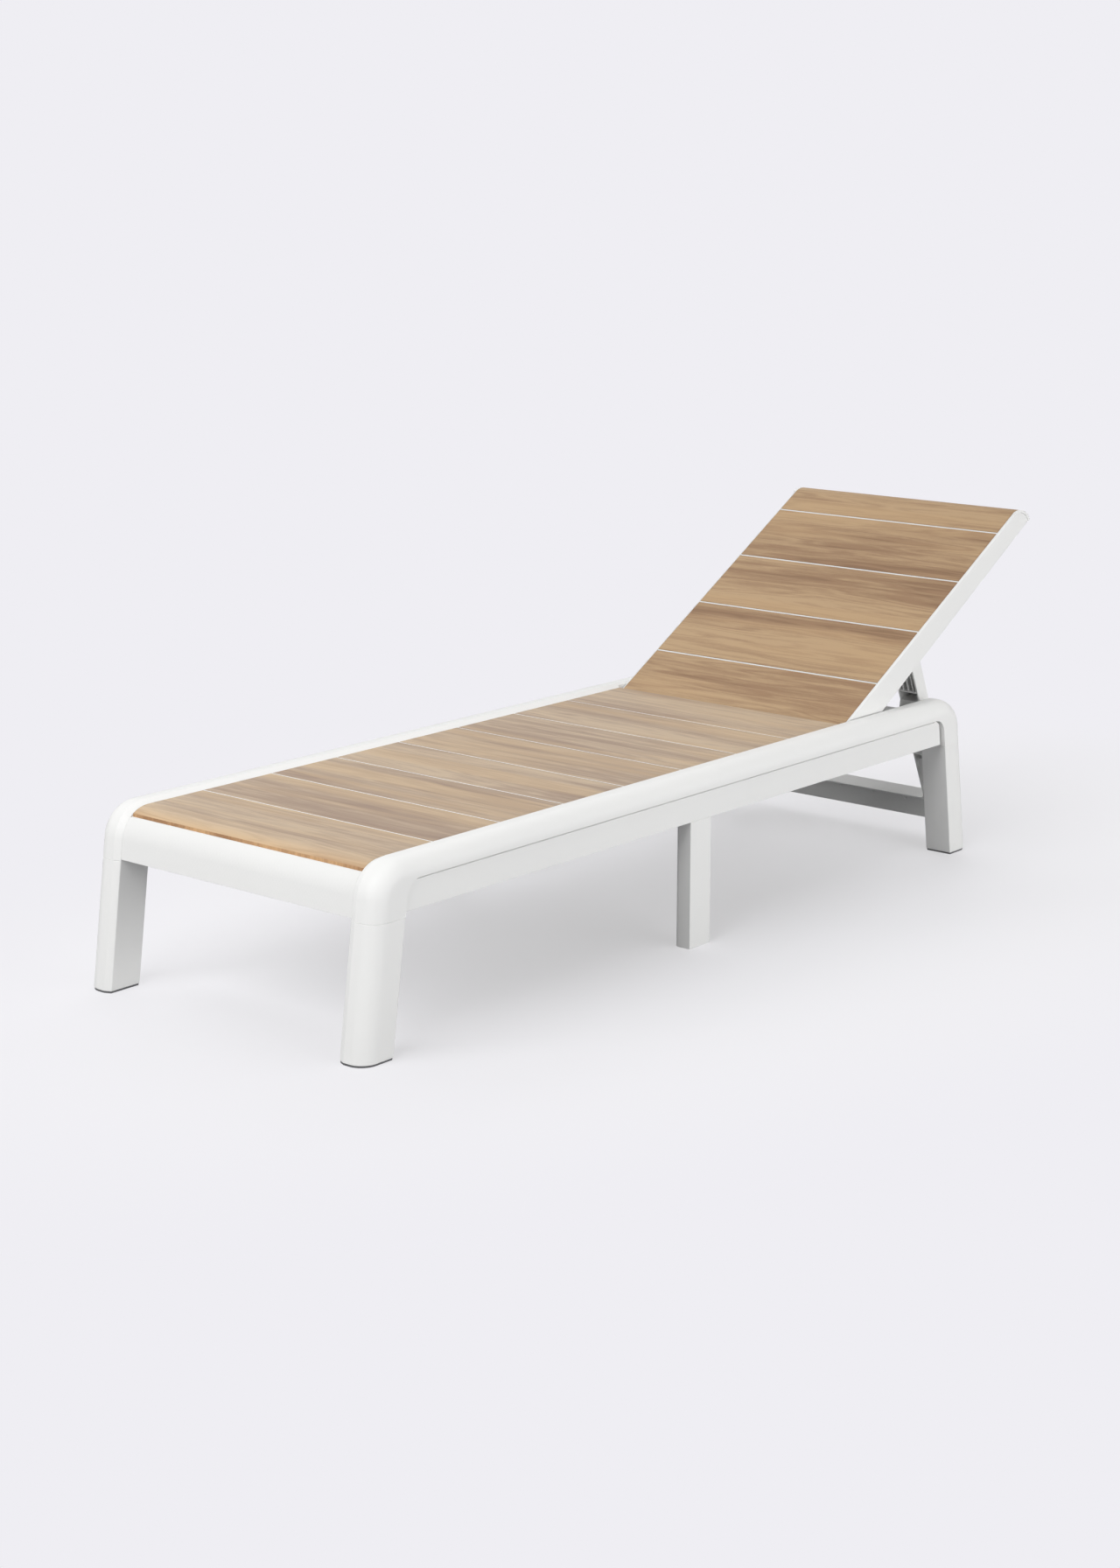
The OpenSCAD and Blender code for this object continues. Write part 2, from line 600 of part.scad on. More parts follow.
// ---- prop, folded flat with its pivot at the origin ----
// (a, b): a along the arm, b towards the step side
module step_nose(k) let (a = plate_a + 19 + k * step_pitch, t = plate_a + nose_a + k * step_pitch)
    polygon([[a + 6, -arm_t / 2 + 2], [a, arm_t / 2], [t, arm_t / 2 + nose_b],
        [t + nose_b * 0.445, arm_t / 2], [t + nose_b * 0.445 + 2, -arm_t / 2 + 2]]);
module arm_flange_2d() difference() {
    union() {
        circle(r = boss_r);
        polygon([[0, -boss_r], [22, -arm_t / 2], [cross_a, -arm_t / 2], [cross_a, arm_t / 2],
            [22, arm_t / 2], [0, boss_r]]);
        for (k = [0:steps - 1]) step_nose(k);
    }
}
module arm_core_2d() union() {
    circle(r = boss_r);
    polygon([[0, -boss_r], [22, -arm_t / 2], [web_a, -arm_t / 2], [web_a, -arm_t / 2 + 3],
        [14, -arm_t / 2 + 3], [8, -4]]);
    polygon([[plate_a - 3, -arm_t / 2 + 1], [plate_a - 3, arm_t / 2], [plate_a, arm_t / 2],
        [plate_a, -arm_t / 2 + 1]]);
    for (k = [0:steps - 1]) step_nose(k);
    polygon([[web_a, -arm_t / 2], [web_a, arm_t / 2 - 6], [cross_a, arm_t / 2 - 6],
        [cross_a, arm_t / 2 - 9.5], [web_a + 4, arm_t / 2 - 9.5], [web_a + 4, -arm_t / 2]]);
}
// a maps to +Y and b to -Z
module prop_profile(x0, x1) translate([x0, 0, 0]) rotate([90, 0, 90]) linear_extrude(x1 - x0)
    mirror([0, 1]) children();
module prop_arm() difference() {
    union() {
        prop_profile(arm_x - 4, arm_x) arm_flange_2d();
        prop_profile(arm_in, arm_in + 3) arm_flange_2d();
        prop_profile(arm_in + 1, arm_x - 1) arm_core_2d();
        for (i = [1:3]) prop_profile(arm_in + i * arm_w / 4 - 1, arm_in + i * arm_w / 4 + 1)
            polygon([[8, -arm_t / 2 + 4], [8, 9], [22, arm_t / 2 - 2], [plate_a - 1, arm_t / 2 - 2],
                [plate_a - 1, -arm_t / 2 + 1], [20, -arm_t / 2 + 1]]);
    }
    rod_x(pin_r + run, arm_in - 1, arm_x + 1);
}
module crossbar_shape() {
    // top flange and a web that slopes from its back edge to the lower front edge
    prop_profile(-arm_x, arm_x) union() {
        translate([cross_a, -arm_t / 2]) square([wall, arm_t]);
        polygon([[cross_a + 1, -arm_t / 2], [cross_a + wall + 3, -arm_t / 2], [prop_len, arm_t / 2 - wall],
            [prop_len, arm_t / 2], [prop_len - 4, arm_t / 2]]);
    }
    for (i = [-2:2]) translate([i * gusset_pitch - gusset_off, 0, 0]) prop_profile(-1.5, 1.5)
        polygon([[cross_a + 1, -arm_t / 2 + 2], [cross_a + 1, arm_t / 2 - 3],
            [cross_a + gusset_a, -arm_t / 2 + arm_t * gusset_a / (prop_len - cross_a) - 3]]);
    for (s = [0, 1]) mirror([s, 0, 0]) {
        prop_profile(arm_x - 4, arm_x) polygon([[cross_a, -arm_t / 2], [cross_a, arm_t / 2],
            [prop_len, arm_t / 2], [prop_len, arm_t / 2 - 8]]);
        // rounded inner corner against the arm
        translate([0, 0, -arm_t / 2]) linear_extrude(arm_t) difference() {
            translate([arm_in - 9.3, cross_a - 9]) square([9, 9.5]);
            translate([arm_in - 9.3, cross_a - 9]) circle(r = 9);
        }
    }
}

// ---- nodes ----
module side_frame_right() placed() color(white) side_frame();
module side_frame_left() placed() color(white) left() side_frame();
module apron_right() placed() color(white) apron();
module apron_left() placed() color(white) left() apron();
module leg_foot_right() placed() color(white) corner_leg();
module leg_foot_left() placed() color(white) left() corner_leg();
module leg_head_right() placed() color(white) head_end() corner_leg();
module leg_head_left() placed() color(white) left() head_end() corner_leg();
module leg_mid_right() placed() color(white) leg_mid();
module leg_mid_left() placed() color(white) left() leg_mid();
module foot_beam() placed() color(white) along_x(-in_x + 0.05, in_x - 0.05) foot_beam_2d();
module mid_beam() placed() color(white) crossbeam(mid_y - mid_beam_w / 2, mid_y + mid_beam_w / 2,
    apron_x - mid_t - ease);
module hinge_beam() placed() color(white) crossbeam(hinge_y - hinge_beam_gap - hinge_beam_w,
    hinge_y - hinge_beam_gap, apron_x - apron_t - ease);
module prop_beam() placed() color(white) prop_beam_shape();
module step_seat() placed() color(white) step_seat_shape();
module seat_screws() placed() color(steel) seat_screw_places() screw(beam_skin);
module deck_panel() placed() color(white) deck_panel_shape();
module deck_plank_1() placed() color(wood) nose_plank();
module deck_plank_2() placed() color(wood) deck_plank(2);
module deck_plank_3() placed() color(wood) deck_plank(3);
module deck_plank_4() placed() color(wood) deck_plank(4);
module deck_plank_5() placed() color(wood) deck_plank(5);
module deck_plank_6() placed() color(wood) deck_plank(6);
module deck_plank_7() placed() color(wood) deck_plank(7);
module deck_plank_8() placed() color(wood) last_plank();
module hinge_bracket_right() placed() color(white) bracket();
module hinge_bracket_left() placed() color(white) left() bracket();
module foot_glides() placed() color(dark) for (s = [0, 1]) mirror([s, 0, 0]) {
    glide();
    head_end() glide();
}
module leg_bolts() placed() color(steel) for (s = [0, 1]) mirror([s, 0, 0]) {
    leg_bolt();
    head_end() leg_bolt();
}
module beam_screws() placed() color(steel) beam_bolts() bolt();
module bracket_screws() placed() color(steel) for (s = [0, 1]) mirror([s, 0, 0]) bracket_bolts();
module deck_screws() placed() color(steel) deck_screw_places(panel_top - panel_skin) screw(panel_skin);
module hinge_axle() placed() color(steel) raised() translate([0, hinge_y, hinge_z])
    rod_x(axle_r, -(apron_x - apron_t - 1), apron_x - apron_t - 1);
module back_stile_right() placed() color(white) raised() stile();
module back_stile_left() placed() color(white) raised() left() stile();
module back_panel() placed() color(white) raised() back_panel_shape();
module back_lower_rail() placed() color(white) raised() lower_rail_shape();
module head_cap() placed() color(white) raised() head_cap_shape();
module back_plank_1() placed() color(wood) raised() back_plank(1);
module back_plank_2() placed() color(wood) raised() back_plank(2);
module back_plank_3() placed() color(wood) raised() back_plank(3);
module back_plank_4() placed() color(wood) raised() back_plank(4);
module back_plank_5() placed() color(wood) raised() head_plank();
module prop_axle() placed() color(steel) raised() translate([0, piv_y, piv_z])
    rod_x(pin_r, -back_in - 8, back_in + 8);
module back_screws() placed() color(steel) raised()
    back_screw_places(panel_top - back_panel_t) screw(back_panel_t);
module prop_arm_right() placed() color(white) folded_out() prop_arm();
module prop_arm_left() placed() color(white) folded_out() left() prop_arm();
module prop_crossbar() placed() color(white) folded_out() crossbar_shape();

side_frame_left();
side_frame_right();
apron_left();
apron_right();
leg_foot_left();
leg_foot_right();
leg_head_left();
leg_head_right();
leg_mid_left();
leg_mid_right();
foot_beam();
mid_beam();
hinge_beam();
prop_beam();
step_seat();
seat_screws();
deck_panel();
deck_plank_1();
deck_plank_2();
deck_plank_3();
deck_plank_4();
deck_plank_5();
deck_plank_6();
deck_plank_7();
deck_plank_8();
hinge_bracket_left();
hinge_bracket_right();
foot_glides();
leg_bolts();
beam_screws();
bracket_screws();
deck_screws();
hinge_axle();
back_stile_left();
back_stile_right();
back_panel();
back_lower_rail();
head_cap();
back_plank_1();
back_plank_2();
back_plank_3();
back_plank_4();
back_plank_5();
prop_axle();
back_screws();
prop_arm_left();
prop_arm_right();
prop_crossbar();
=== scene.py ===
# %% [markdown]
# # A reclining sun lounger
# The lounger is two white moulded side frames with splayed legs, a deck of wood planks between
# them and a plank backrest that a stepped prop holds up. The exact solids come from the packed
# frame. This lesson gives them soft edges and finishes, builds the planks anew, and lights the
# whole on a pale floor.

# %% Load the frame
import bpy
import bmesh
import json
import math
from mathutils import Matrix, Vector


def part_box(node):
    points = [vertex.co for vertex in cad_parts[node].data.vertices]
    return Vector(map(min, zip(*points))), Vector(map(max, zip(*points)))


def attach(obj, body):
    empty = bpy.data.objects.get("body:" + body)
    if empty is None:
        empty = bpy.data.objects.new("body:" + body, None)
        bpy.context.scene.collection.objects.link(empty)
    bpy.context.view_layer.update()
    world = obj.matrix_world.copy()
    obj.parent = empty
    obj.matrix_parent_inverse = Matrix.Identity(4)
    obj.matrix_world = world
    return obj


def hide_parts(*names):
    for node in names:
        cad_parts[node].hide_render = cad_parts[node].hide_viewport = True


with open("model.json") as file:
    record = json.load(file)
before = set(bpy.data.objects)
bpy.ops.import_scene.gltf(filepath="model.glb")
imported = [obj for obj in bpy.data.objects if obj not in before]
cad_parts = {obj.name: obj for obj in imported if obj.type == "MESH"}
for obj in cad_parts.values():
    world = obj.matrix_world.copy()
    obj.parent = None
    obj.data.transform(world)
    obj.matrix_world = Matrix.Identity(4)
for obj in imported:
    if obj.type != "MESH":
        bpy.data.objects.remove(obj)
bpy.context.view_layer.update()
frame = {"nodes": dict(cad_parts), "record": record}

# %% [markdown]
# ## The camera
# A product view from low at the foot end, a little to one side, shows the deck as a long
# tapering road of planks. A camera could track the object, but its place and its two turns are
# plain numbers, so they are written down: a lens of 64 mm, 1.43 m above the floor.

# %% Camera
EYE = Vector((3.1433, -3.8764, 1.430))
LOOK_DOWN = math.radians(13.68)
TURN = math.radians(40.16)
LENS_MM, SENSOR_MM = 63.79, 36

camera = bpy.data.objects.new("camera", bpy.data.cameras.new("camera"))
bpy.context.scene.collection.objects.link(camera)
bpy.context.scene.camera = camera
camera.data.lens = LENS_MM
camera.data.sensor_width = SENSOR_MM
camera.location = EYE
camera.rotation_euler = (math.pi / 2 - LOOK_DOWN, 0, TURN)
print("camera", tuple(round(v, 3) for v in EYE))

# %% [markdown]
# ## Shader maths as sums
# Node trees get long when every sum is a node made by hand. A small class that wraps one socket
# and knows how to add, subtract and multiply lets a finish be written as a formula instead.

# %% Wires
class Wire:
    """One value socket that takes part in sums."""

    def __init__(self, tree, socket):
        self.tree, self.socket = tree, socket

    def combine(self, operation, other, swapped=False):
        node = self.tree.nodes.new("ShaderNodeMath")
        node.operation = operation
        first, second = (1, 0) if swapped else (0, 1)
        self.tree.links.new(self.socket, node.inputs[first])
        if isinstance(other, Wire):
            self.tree.links.new(other.socket, node.inputs[second])
        else:
            node.inputs[second].default_value = other
        return Wire(self.tree, node.outputs[0])

    def __add__(self, other):
        return self.combine("ADD", other)

    def __sub__(self, other):
        return self.combine("SUBTRACT", other)

    def __rsub__(self, other):
        return self.combine("SUBTRACT", other, swapped=True)

    def __mul__(self, other):
        return self.combine("MULTIPLY", other)

    def sine(self):
        return self.combine("SINE", 0.0)

    __radd__ = __add__
    __rmul__ = __mul__


print("sums ready")

# %% [markdown]
# ## Finishes
# Every finish here is one Principled shader with a few patterns in front of it. A class that
# holds the material and adds one node per call keeps each finish down to the lines that tell
# what it looks like. All patterns start from Object coordinates, so they stay with the piece.

# %% Finishes
class Finish:
    """A material whose nodes are added one call at a time."""

    def __init__(self, name, sockets=None):
        self.material = bpy.data.materials.new(name)
        self.material.use_nodes = True
        self.tree = self.material.node_tree
        self.tree.nodes.clear()
        self.shader = self.tree.nodes.new("ShaderNodeBsdfPrincipled")
        self.output = self.tree.nodes.new("ShaderNodeOutputMaterial")
        self.tree.links.new(self.shader.outputs[0], self.output.inputs["Surface"])
        self.surface(sockets or {})

    def feed(self, node, sockets):
        """Sets or links sockets, which are found by name or by number."""
        for key, value in sockets.items():
            if isinstance(value, Wire):
                self.tree.links.new(value.socket, node.inputs[key])
            else:
                node.inputs[key].default_value = value

    def surface(self, sockets):
        self.feed(self.shader, sockets)

    def add(self, kind, settings, sockets, out=0):
        """Adds a node: its settings first, then its sockets, and gives back one output."""
        node = self.tree.nodes.new("ShaderNode" + kind)
        for key, value in settings.items():
            if key == "stops":
                self.set_stops(node.color_ramp, value)
            else:
                setattr(node, key, value)
        self.feed(node, sockets)
        return Wire(self.tree, node.outputs[out])

    @staticmethod
    def set_stops(ramp, stops):
        while len(ramp.elements) < len(stops):
            ramp.elements.new(0.5)
        for element, (place, colour) in zip(ramp.elements, stops):
            element.position, element.color = place, colour

    def place(self, scale=(1, 1, 1), shift=(0, 0, 0)):
        """Object coordinates, scaled and shifted."""
        spot = self.add("TexCoord", {}, {}, out="Object")
        return self.add("Mapping", {}, {"Vector": spot, "Scale": scale, "Location": shift})

    def noise(self, spot, scale, detail, roughness=0.5):
        return self.add("TexNoise", {}, {"Vector": spot, "Scale": scale, "Detail": detail,
                                         "Roughness": roughness}, out="Fac")

    def ramp(self, value, *stops):
        return self.add("ValToRGB", {"stops": stops}, {"Fac": value})

    def blend(self, share, one, two):
        return self.add("Mix", {"data_type": "RGBA"}, {0: share, 6: one, 7: two}, out=2)

    def grey(self, colour):
        return self.add("RGBToBW", {}, {"Color": colour})

    def bump(self, height, depth, strength=1.0):
        return self.add("Bump", {}, {"Height": height, "Distance": depth, "Strength": strength})


def rgb(red, green, blue):
    """A screen colour, 0 to 255, as the linear colour that a shader needs."""
    def linear(value):
        value /= 255
        return value / 12.92 if value <= 0.04045 else ((value + 0.055) / 1.055) ** 2.4
    return (linear(red), linear(green), linear(blue), 1.0)


BLACK, WHITE = (0, 0, 0, 1), (1, 1, 1, 1)
print("finish tools ready")

# %% [markdown]
# ## White moulded resin
# Outdoor resin is nearly white, slightly warm, with a satin skin: the mould leaves a very fine
# grain on it, and broad faces are never quite even. A plain white would look like paper, so a
# fine noise drives the bump and a broad one the gloss and the tint. The end board under the nose
# plank has a finer woven skin, made with two crossing waves.

# %% White resin
def weave(finish):
    """Two fine waves that cross on the diagonals of each face."""
    def wave(stretch):
        return finish.add("TexWave", {"bands_direction": "DIAGONAL"},
                          {"Scale": 90.0, "Vector": finish.place(stretch)}, out="Fac")
    return wave((1.0, 1.0, -1.0)) + wave((1.0, -1.0, 1.0))


def white_resin(name, tint, woven=0.0):
    """Resin of one brightness, 0 to 255, with as much of the woven skin as asked for."""
    finish = Finish(name, {"IOR": 1.46, "Specular IOR Level": 0.3})
    grain = finish.noise(finish.place(), scale=700.0, detail=3.0, roughness=0.6)
    broad = finish.noise(finish.place(), scale=5.0, detail=2.0)
    skin = grain + woven * weave(finish) if woven else grain
    finish.surface({
        "Base Color": finish.blend(broad, rgb(tint - 3, tint - 3, tint - 4),
                                   rgb(tint, tint, tint - 2)),
        "Roughness": 0.40 + 0.10 * grain + 0.06 * broad,
        "Normal": finish.bump(skin, depth=0.00006, strength=0.5)})
    return finish.material


RESIN = white_resin("white_resin", tint=240)
# the end board is 3 steps darker than the other resin: painted shade that tones down the strong
# front light on it
SHADED_BEAM_RESIN = white_resin("white_resin_woven_shaded", tint=237, woven=1.5)
print("made", RESIN.name, "and", SHADED_BEAM_RESIN.name)

# %% [markdown]
# ## Wood
# The planks are sawn with the grain across the lounger. Long soft bands, a few darker year lines
# and fine fibres all run along X, so each layer is a noise that is stretched along X. The year
# lines are contours of the broad bands: a sine of the band value gives lines that open and close
# like real ones. Every plank comes from another place in the tree, so each gets its own shift.
# The deck's colours are paler and greyer than the backrest's: this is painted sheen, the gloss
# of the deck seen at a low angle, so each has its own five colours, and the nose plank turns
# warmer where it bends down.

# %% Wood colours
# dark, middle and light wood, the streak near the heart, and the golden patches
# painted sheen: the deck's colours are paler and greyer to stand for its gloss at a low angle
DECK_WOOD_WITH_SHEEN = (rgb(170, 148, 129), rgb(185, 164, 142), rgb(201, 180, 154),
             rgb(154, 132, 117), rgb(207, 179, 142))
BACK_WOOD = (rgb(157, 125, 95), rgb(175, 145, 111), rgb(189, 159, 123),
             rgb(132, 101, 75), rgb(194, 161, 121))
BEND_DARK, BEND_LIGHT = rgb(184, 146, 108), rgb(212, 178, 136)
CUT_DARK, CUT_LIGHT = rgb(168, 128, 92), rgb(208, 168, 124)
DARK_AT, MIDDLE_AT, LIGHT_AT = 0.42, 0.50, 0.57
GOLD_SHARE, HEART_SHARE = 0.45, 0.70
BEND_HIGH, BEND_LOW, BEND_SHARE = 0.313, 0.303, 0.8
print(len(DECK_WOOD_WITH_SHEEN), "colours for each kind of board")

# %% Warm bend of the nose plank
def warm_bend(finish, colour, value, band):
    """The nose plank is warmer where it bends down, along a slightly wavy line."""
    height = finish.add("SeparateXYZ", {}, {"Vector": finish.place()}, out="Z")
    bent = finish.add("MapRange", {}, {
        "Value": height + 0.012 * band, "From Min": BEND_HIGH, "From Max": BEND_LOW,
        "To Min": 0.0, "To Max": BEND_SHARE})
    warm = finish.ramp(value, (DARK_AT, BEND_DARK), (LIGHT_AT, BEND_LIGHT))
    return finish.blend(bent, colour, warm)


print("bend between", BEND_LOW, "and", BEND_HIGH, "m above the floor")

# %% Board wood
def plank_wood(name, number, palette):
    """Wood for one board; its number shifts the pattern to another part of the tree."""
    dark, middle, light, streak, gold = palette
    finish = Finish(name, {"IOR": 1.45, "Specular IOR Level": 0.3})
    shift = (3.1 * number, 1.7 * number, 0.6 * number)

    def layer(along, across, detail):
        spot = finish.place((along, across, across), shift)
        return finish.noise(spot, scale=1.0, detail=detail, roughness=0.55)

    band = layer(along=1.1, across=13.0, detail=3.0)
    line = layer(along=2.6, across=75.0, detail=3.0)
    fibre = (0.5 * layer(along=9.0, across=420.0, detail=2.0)
             + 0.5 * layer(along=70.0, across=1100.0, detail=2.0))
    years = (band * 95.0).sine() * 0.5 + 0.5
    board_tone = 0.012 * math.sin(2.4 * number)
    # the four shares add up to 1, so an even value of 0.5 meets the middle colour
    value = band * 0.44 + line * 0.22 + fibre * 0.27 + years * 0.07 + board_tone
    colour = finish.ramp(value, (DARK_AT, dark), (MIDDLE_AT, middle), (LIGHT_AT, light))
    golden = finish.ramp(layer(along=0.9, across=16.0, detail=2.0), (0.48, BLACK), (0.62, WHITE))
    colour = finish.blend(GOLD_SHARE * finish.grey(golden), colour, gold)
    heart = finish.ramp(band * 0.7 + line * 0.3, (0.38, WHITE), (0.44, BLACK))
    colour = finish.blend(HEART_SHARE * finish.grey(heart) * years, colour, streak)
    if number == 1:
        colour = warm_bend(finish, colour, value, band)
    finish.surface({
        "Base Color": colour,
        "Roughness": 0.50 - 0.10 * fibre,
        "Normal": finish.bump(fibre + line, depth=0.00012, strength=0.3)})
    return finish.material


print("board wood ready")

# %% Wood for each board
BACK_SHIFT = 19  # keeps the backrest's boards away from the deck's in the tree
WOODS = {}
for number in range(1, 9):
    WOODS[f"deck_plank_{number}"] = plank_wood(f"wood_deck_{number}", number, DECK_WOOD_WITH_SHEEN)
for number in range(1, 6):
    WOODS[f"back_plank_{number}"] = plank_wood(f"wood_back_{number}", number + BACK_SHIFT,
                                               BACK_WOOD)
print("made", len(WOODS), "woods")

# %% [markdown]
# ## The sawn edge
# Where the nose plank is cut, the saw leaves a darker and rougher face with short ticks across
# it. It needs no bands and no year lines: one noise makes the ticks, a broad one the patches.

# %% The sawn edge
def cut_wood():
    """The sawn edge of the nose plank: darker, with short ticks across it."""
    finish = Finish("wood_cut", {"IOR": 1.45})
    ticks = finish.noise(finish.place((160.0, 20.0, 20.0)), scale=1.0, detail=3.0)
    patch = finish.noise(finish.place((14.0, 2.0, 2.0)), scale=1.0, detail=1.0)
    finish.surface({
        "Base Color": finish.ramp(ticks * 0.4 + patch * 0.6, (0.38, CUT_DARK), (0.60, CUT_LIGHT)),
        "Roughness": 0.7 - 0.1 * ticks,
        "Normal": finish.bump(ticks, depth=0.0002, strength=0.4)})
    return finish.material


CUT = cut_wood()
print("made", CUT.name)

# %% [markdown]
# ## Rubber and steel
# Small parts: hard grey glides under the legs and zinc plated screws and axles. Rubber is matte
# and a little uneven, and zinc is cloudy, so one noise each is enough.

# %% Rubber and steel
def dark_rubber():
    finish = Finish("dark_rubber")
    grain = finish.noise(finish.place(), scale=500.0, detail=2.0)
    finish.surface({
        "Base Color": finish.blend(grain, rgb(92, 92, 94), rgb(108, 108, 110)),
        "Roughness": 0.6 + 0.2 * grain,
        "Normal": finish.bump(grain, depth=0.0001)})
    return finish.material


def zinc_steel():
    finish = Finish("zinc_steel", {"Metallic": 1.0})
    cloud = finish.noise(finish.place(), scale=90.0, detail=3.0)
    finish.surface({
        "Base Color": finish.blend(cloud, rgb(176, 178, 182), rgb(204, 205, 206)),
        "Roughness": 0.28 + 0.22 * cloud,
        "Normal": finish.bump(cloud, depth=0.00004)})
    return finish.material


FINISHES = {"white_resin": RESIN, "dark_rubber": dark_rubber(), "zinc_steel": zinc_steel()}
print("made", ", ".join(FINISHES))

# %% [markdown]
# ## Dress the solids
# Each node of the frame names its material slot, so a loop can dress them all. The two wood
# slots have no single finish: there the board's own wood is taken.

# %% Dress the solids
slots = {part["node"]: part["material_slot"] for part in frame["record"]["subparts"]}
for node, obj in frame["nodes"].items():
    obj.data.materials.clear()
    obj.data.materials.append(FINISHES.get(slots[node]) or WOODS[node])
print("finished", len(slots), "nodes")

# %% [markdown]
# ## A piece in a node's place
# A piece made here is drawn instead of the exact solid, but it still belongs to the same moving
# body. One helper turns a bmesh into such an object. Weighted normals keep broad faces flat
# next to small roundings, which a plain smooth shading would not.

# %% A piece in a node's place
body_of = {node: body for body, nodes in frame["record"]["behaviour"]["bodies"].items()
           for node in nodes}


def add_piece(name, bm, node, *finishes):
    """Turns a bmesh into an object that takes the place of a node and rides with its body."""
    mesh = bpy.data.meshes.new(name)
    bm.to_mesh(mesh)
    bm.free()
    mesh.shade_smooth()
    for finish in finishes:
        mesh.materials.append(finish)
    piece = bpy.data.objects.new(name, mesh)
    bpy.context.scene.collection.objects.link(piece)
    weighted = piece.modifiers.new("even shading", "WEIGHTED_NORMAL")
    weighted.keep_sharp = True
    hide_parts(node)
    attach(piece, body_of[node])
    return piece


print("bodies:", sorted(set(body_of.values())))

# %% [markdown]
# ## Soft edges on the mouldings
# A moulded part never has a knife edge: the tool leaves a radius, and that radius catches the
# light and draws every corner. A Bevel modifier could round the exact solid, but it is made of
# loose triangles. So its mesh is copied, the doubled points are joined, flat neighbours are
# merged, and each sharp edge gets a small rounding. The strips narrower than 0.3 mm at a mould
# seam are passed over, because a rounding would fold there.

# %% Rounding
THIN_STRIP = 0.0003
SHARP_DEGREES = 20.0


def is_thin(face):
    """True for a strip like the small step at a mould seam."""
    return face.calc_area() < THIN_STRIP * max(edge.calc_length() for edge in face.edges)


def round_edges(bm, radius, sharper_than=SHARP_DEGREES):
    sharp = [edge for edge in bm.edges
             if edge.is_manifold and edge.calc_face_angle(0) > math.radians(sharper_than)
             and not any(is_thin(face) for face in edge.link_faces)]
    bmesh.ops.bevel(bm, geom=sharp, offset=radius, segments=2, profile=0.5,
                    affect="EDGES", material=-1)


print("edges turn soft above", SHARP_DEGREES, "degrees")

# %% [markdown]
# ## The lip under the nose plank
# The end board has a lip and a groove right in front of the nose plank. The plank's sawn edge
# stands a little proud of them, so both are sunk towards the centre line of the nose bend. They
# are found by their angle and their distance from that line, which needs no list of points.

# %% The lip under the nose plank
DECK_TOP = 0.3075
NOSE_RADIUS = 0.059
NOSE_RUN = 0.12648  # from the start of the bend to the second plank
NOSE = Vector((0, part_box("deck_plank_2")[0][1] - NOSE_RUN, DECK_TOP - NOSE_RADIUS))
LIP_DEGREES, LIP_FROM = (38.1, 40.5), 0.0592
GROOVE_DEGREES, GROOVE_FROM, GROOVE_TO = (38.3, 46.0), 0.0574, 0.0582
LIP_SUNK = 0.0034


def sink_lip(bm):
    """Sinks the lip and the floor of the groove, so that the sawn edge of the plank shows."""
    for v in bm.verts:
        arm = (v.co - NOSE) * Vector((0, 1, 1))
        turned = math.degrees(math.atan2(-arm.y, arm.z))
        on_lip = LIP_DEGREES[0] < turned < LIP_DEGREES[1] and arm.length > LIP_FROM
        on_floor = (GROOVE_DEGREES[0] < turned < GROOVE_DEGREES[1]
                    and GROOVE_FROM < arm.length < GROOVE_TO)
        if on_lip or on_floor:
            v.co -= arm.normalized() * LIP_SUNK


print("nose bend at", tuple(round(v, 4) for v in NOSE))

# %% [markdown]
# ## The line between rail and apron
# The apron is a board of its own under the rail, and a narrow gap between the two draws a dark
# line along the whole side. The solids touch there, so the copy of the apron is lowered by the
# gap, its two corner arcs shrink by as much, and its outer top edge is eased.

# %% The line between rail and apron
CORNER_RADIUS = 0.030
LINE_GAP = 0.0025
NEAR = 0.0005
ARC_SLACK = 0.0006


def shadow_line(bm):
    """Opens the gap between the top of an apron and the rail, and eases the apron there."""
    side = max((v.co.x for v in bm.verts), key=abs)

    def outside(v):
        return abs(v.co.x - side) < NEAR

    crown = max(v.co.z for v in bm.verts if outside(v))
    top = [v for v in bm.verts if abs(v.co.z - crown) < NEAR]
    ends = [v.co.y for v in top if outside(v)]
    bmesh.ops.translate(bm, verts=top, vec=(0, 0, -LINE_GAP))
    for end, outward in ((min(ends), -1), (max(ends), 1)):
        for v in bm.verts:
            arm = v.co - Vector((v.co.x, end, crown - CORNER_RADIUS))
            beyond = outward * arm.y > -NEAR and arm.z > 0
            if beyond and abs(arm.length - CORNER_RADIUS) < ARC_SLACK:
                v.co -= arm.normalized() * LINE_GAP
    edges = [edge for edge in bm.edges if all(v in top and outside(v) for v in edge.verts)]
    bmesh.ops.bevel(bm, geom=edges, offset=LINE_GAP, segments=3, profile=0.5,
                    affect="EDGES", material=-1)
    print("apron line:", len(edges), "edges at", round(side, 4), round(crown, 4))


print("line of", LINE_GAP * 1000, "mm over corners of", CORNER_RADIUS * 1000, "mm")

# %% [markdown]
# ## The mouldings, softened
# Every moulding now gets its copy, with a rounding in millimetres that suits its size. The tops
# of the corner legs get the widest one: it catches light and draws the joint line under each
# corner. A wider merge closes the fine seam step on the side frames. The crossbar of the prop
# and the ribbed panels keep their exact solids, whose thin walls a rounding would spoil.

# %% The mouldings, softened
MERGE, SEAM_MERGE = 0.00012, 0.0004
FLAT_DEGREES = 0.6
ROUNDING_MM = {
    "side_frame": 0.2, "leg_foot": 1.7, "leg_head": 1.7, "leg_mid": 1.0, "apron": 0.8,
    "foot_beam": 0.6, "mid_beam": 0.8, "hinge_beam": 0.8, "prop_beam": 0.8, "step_seat": 0.6,
    "hinge_bracket": 0.5, "back_stile": 0.6, "back_lower_rail": 0.6, "head_cap": 0.5,
    "prop_arm": 0.6}


